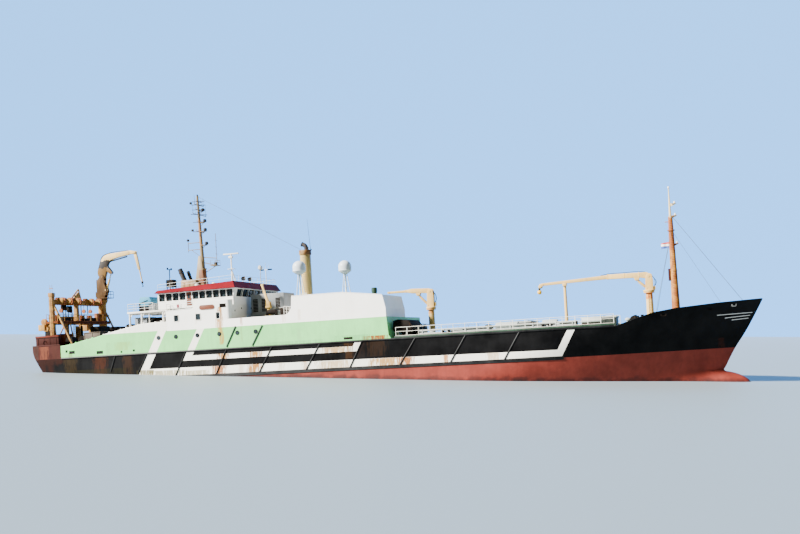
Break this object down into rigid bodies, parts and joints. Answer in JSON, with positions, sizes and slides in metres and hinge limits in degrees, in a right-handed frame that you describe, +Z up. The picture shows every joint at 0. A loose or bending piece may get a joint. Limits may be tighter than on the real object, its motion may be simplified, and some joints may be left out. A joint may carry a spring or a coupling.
{
  "type": "1:10 scale model of a stern fishing trawler",
  "caption": "Stern fishing trawler afloat, whole hull with stern ramp, deckhouse, glazed wheelhouse, gantry, slewing deck cranes, net drum, winches, propeller and rudder.",
  "frame": {"origin": "on the centreline amidships, at the water surface she floats at", "axes": "+X towards the bow, +Y to port, +Z up; the ship sits 3.5 degrees down by the stern in this frame"},
  "size_m": [10.0286, 1.626, 3.3696],
  "materials": {
    "antifouling": "matt",
    "topside_black": "satin",
    "strake_green": "satin",
    "house_white": "satin",
    "visor_crimson": "satin",
    "crane_cream": "satin",
    "funnel_buff": "satin",
    "gantry_ochre": "matt",
    "stern_oxide": "matt",
    "mast_rust": "matt",
    "deck_machinery": "matt",
    "window_glass": "clear",
    "rail_grey": "satin",
    "hatch_grey": "satin",
    "door_brown": "satin",
    "propeller_bronze": "polished",
    "ram_chrome": "polished"
  },
  "bodies": {
    "root": {"hull_bottom": "antifouling", "hull_topsides": "topside_black", "rubbing_frame_stbd": "topside_black", "rubbing_frame_port": "topside_black", "stern_quarter_stbd": "stern_oxide", "stern_quarter_port": "stern_oxide", "aft_bulwark_stbd": "strake_green", "aft_bulwark_port": "strake_green", "house_lower": "strake_green", "house_upper": "house_white", "aft_platform": "house_white", "side_house_stbd": "house_white", "wheelhouse_shell": "house_white", "wheelhouse_glazing": "window_glass", "wheelhouse_console": "deck_machinery", "wheelhouse_roof": "visor_crimson", "main_mast": "crane_cream", "radar_post": "rail_grey", "funnel": "funnel_buff", "radome_aft": "house_white", "radome_fore": "house_white", "fore_crane_pedestal": "crane_cream", "boom_rest": "crane_cream", "mid_crane_pedestal": "crane_cream", "gantry": "gantry_ochre", "trawl_door_stbd": "stern_oxide", "trawl_door_port": "stern_oxide", "net_drum_stand": "deck_machinery", "trawl_winch_frame": "deck_machinery", "hatch_coaming_aft": "hatch_grey", "hatch_coaming_fore": "hatch_grey", "foredeck_rail_stbd": "rail_grey", "foredeck_rail_port": "rail_grey", "windlass": "strake_green", "foremast": "mast_rust"},
    "propeller": {"propeller": "propeller_bronze"},
    "rudder": {"rudder": "antifouling"},
    "radar": {"radar_scanner": "rail_grey"},
    "door_stbd": {"wheelhouse_door_stbd": "door_brown"},
    "door_port": {"wheelhouse_door_port": "door_brown"},
    "net_drum": {"net_drum": "deck_machinery"},
    "winch_stbd": {"trawl_winch_drum_stbd": "deck_machinery"},
    "winch_port": {"trawl_winch_drum_port": "deck_machinery"},
    "hatch_aft": {"hatch_cover_aft": "hatch_grey"},
    "hatch_fore": {"hatch_cover_fore": "hatch_grey"},
    "fore_column": {"fore_crane_column": "crane_cream"},
    "fore_boom": {"fore_crane_boom": "crane_cream"},
    "fore_cylinder": {"fore_crane_cylinder": "crane_cream"},
    "fore_ram": {"fore_crane_ram": "ram_chrome"},
    "mid_column": {"mid_crane_column": "crane_cream"},
    "mid_boom": {"mid_crane_boom": "crane_cream"},
    "mid_cylinder": {"mid_crane_cylinder": "crane_cream"},
    "mid_ram": {"mid_crane_ram": "ram_chrome"},
    "stern_column": {"stern_crane_column": "gantry_ochre"},
    "stern_boom": {"stern_crane_boom": "crane_cream"},
    "stern_jib": {"stern_crane_jib": "crane_cream"},
    "stern_cylinder": {"stern_crane_cylinder": "crane_cream"},
    "stern_ram": {"stern_crane_ram": "ram_chrome"},
    "stores_post": {"stores_crane_post": "crane_cream"},
    "stores_boom": {"stores_crane_boom": "crane_cream"}
  },
  "joints": [
    {"name": "propeller_spin", "type": "hinge", "parent": "root", "child": "propeller", "pos_m": [-4.21663, 0, -0.59353], "axis": [0.9981, 0, 0.061], "continuous": true},
    {"name": "rudder_turn", "type": "hinge", "parent": "root", "child": "rudder", "pos_m": [-4.3854, 0, -0.61888], "axis": [-0.061, 0, 0.9981], "range_deg": [-35, 35]},
    {"name": "radar_spin", "type": "hinge", "parent": "root", "child": "radar", "pos_m": [-2.13732, 0, 1.69268], "axis": [-0.061, 0, 0.9981], "continuous": true},
    {"name": "door_stbd_swing", "type": "hinge", "parent": "root", "child": "door_stbd", "pos_m": [-2.37695, -0.7038, 1.05686], "axis": [-0.061, 0, 0.9981], "range_deg": [0, 115]},
    {"name": "door_port_swing", "type": "hinge", "parent": "root", "child": "door_port", "pos_m": [-2.37695, 0.7038, 1.05686], "axis": [0.061, 0, -0.9981], "range_deg": [0, 115]},
    {"name": "net_drum_spin", "type": "hinge", "parent": "root", "child": "net_drum", "pos_m": [-4.01592, 0, 0.4657], "axis": [0, 1, 0], "continuous": true},
    {"name": "winch_stbd_spin", "type": "hinge", "parent": "root", "child": "winch_stbd", "pos_m": [-3.59121, -0.51, 0.40151], "axis": [0, 1, 0], "continuous": true},
    {"name": "winch_port_spin", "type": "hinge", "parent": "root", "child": "winch_port", "pos_m": [-3.59121, 0.51, 0.40151], "axis": [0, 1, 0], "continuous": true},
    {"name": "hatch_aft_lift", "type": "hinge", "parent": "root", "child": "hatch_aft", "pos_m": [1.80283, 0, 0.69666], "axis": [0, -1, 0], "range_deg": [0, 85]},
    {"name": "hatch_fore_lift", "type": "hinge", "parent": "root", "child": "hatch_fore", "pos_m": [3.28606, 0, 0.78738], "axis": [0, 1, 0], "range_deg": [0, 85]},
    {"name": "fore_crane_slew", "type": "hinge", "parent": "root", "child": "fore_column", "pos_m": [3.66871, 0, 1.11605], "axis": [-0.061, 0, 0.9981], "range_deg": [-140, 140]},
    {"name": "fore_crane_luff", "type": "hinge", "parent": "fore_column", "child": "fore_boom", "pos_m": [3.66241, 0, 1.30101], "axis": [0, 1, 0], "range_deg": [0, 60]},
    {"name": "fore_cylinder_swing", "type": "hinge", "parent": "fore_column", "child": "fore_cylinder", "pos_m": [3.6463, 0, 1.15476], "axis": [0, 1, 0], "range_deg": [0, 30.81]},
    {"name": "fore_ram_slide", "type": "slide", "parent": "fore_cylinder", "child": "fore_ram", "axis": [-0.7713, 0, 0.6364], "range_m": [0, 0.1031]},
    {"name": "mid_crane_slew", "type": "hinge", "parent": "root", "child": "mid_column", "pos_m": [0.76505, 0.3, 0.92343], "axis": [-0.061, 0, 0.9981], "range_deg": [-150, 150]},
    {"name": "mid_crane_luff", "type": "hinge", "parent": "mid_column", "child": "mid_boom", "pos_m": [0.75101, 0.3, 1.153], "axis": [0, 1, 0], "range_deg": [0, 60]},
    {"name": "mid_cylinder_swing", "type": "hinge", "parent": "mid_column", "child": "mid_cylinder", "pos_m": [0.73236, 0.3, 0.96651], "axis": [0, 1, 0], "range_deg": [0, 28.45]},
    {"name": "mid_ram_slide", "type": "slide", "parent": "mid_cylinder", "child": "mid_ram", "axis": [-0.7349, 0, 0.6782], "range_m": [0, 0.1248]},
    {"name": "stern_crane_slew", "type": "hinge", "parent": "root", "child": "stern_column", "pos_m": [-4.69502, 0.57, 1.0854], "axis": [-0.061, 0, 0.9981], "range_deg": [-170, 170]},
    {"name": "stern_crane_luff", "type": "hinge", "parent": "stern_column", "child": "stern_boom", "pos_m": [-4.66709, 0.57, 1.44778], "axis": [0, -1, 0], "range_deg": [0, 40]},
    {"name": "stern_cylinder_swing", "type": "hinge", "parent": "stern_column", "child": "stern_cylinder", "pos_m": [-4.60436, 0.57, 1.24123], "axis": [0, -1, 0], "range_deg": [0, 16.33]},
    {"name": "stern_ram_slide", "type": "slide", "parent": "stern_cylinder", "child": "stern_ram", "axis": [0.2953, 0, 0.9554], "range_m": [0, 0.0686]},
    {"name": "stern_crane_jib_fold", "type": "hinge", "parent": "stern_boom", "child": "stern_jib", "pos_m": [-4.09396, 0.57, 1.82347], "axis": [0, -1, 0], "range_deg": [0, 100]},
    {"name": "stores_crane_slew", "type": "hinge", "parent": "root", "child": "stores_post", "pos_m": [-1.302, -0.5, 0.81203], "axis": [-0.061, 0, 0.9981], "range_deg": [-150, 150]},
    {"name": "stores_crane_luff", "type": "hinge", "parent": "stores_post", "child": "stores_boom", "pos_m": [-1.31798, -0.5, 0.99139], "axis": [0, 1, 0], "range_deg": [-70, 8]}
  ],
  "couplings": [
    {"joint": "fore_cylinder_swing", "follows": "fore_crane_luff", "ratio": 0.50509},
    {"joint": "fore_ram_slide", "follows": "fore_crane_luff", "m_per_rad": 0.09652},
    {"joint": "mid_cylinder_swing", "follows": "mid_crane_luff", "ratio": 0.46584},
    {"joint": "mid_ram_slide", "follows": "mid_crane_luff", "m_per_rad": 0.11727},
    {"joint": "stern_cylinder_swing", "follows": "stern_crane_luff", "ratio": 0.3957},
    {"joint": "stern_ram_slide", "follows": "stern_crane_luff", "m_per_rad": 0.09534}
  ]
}
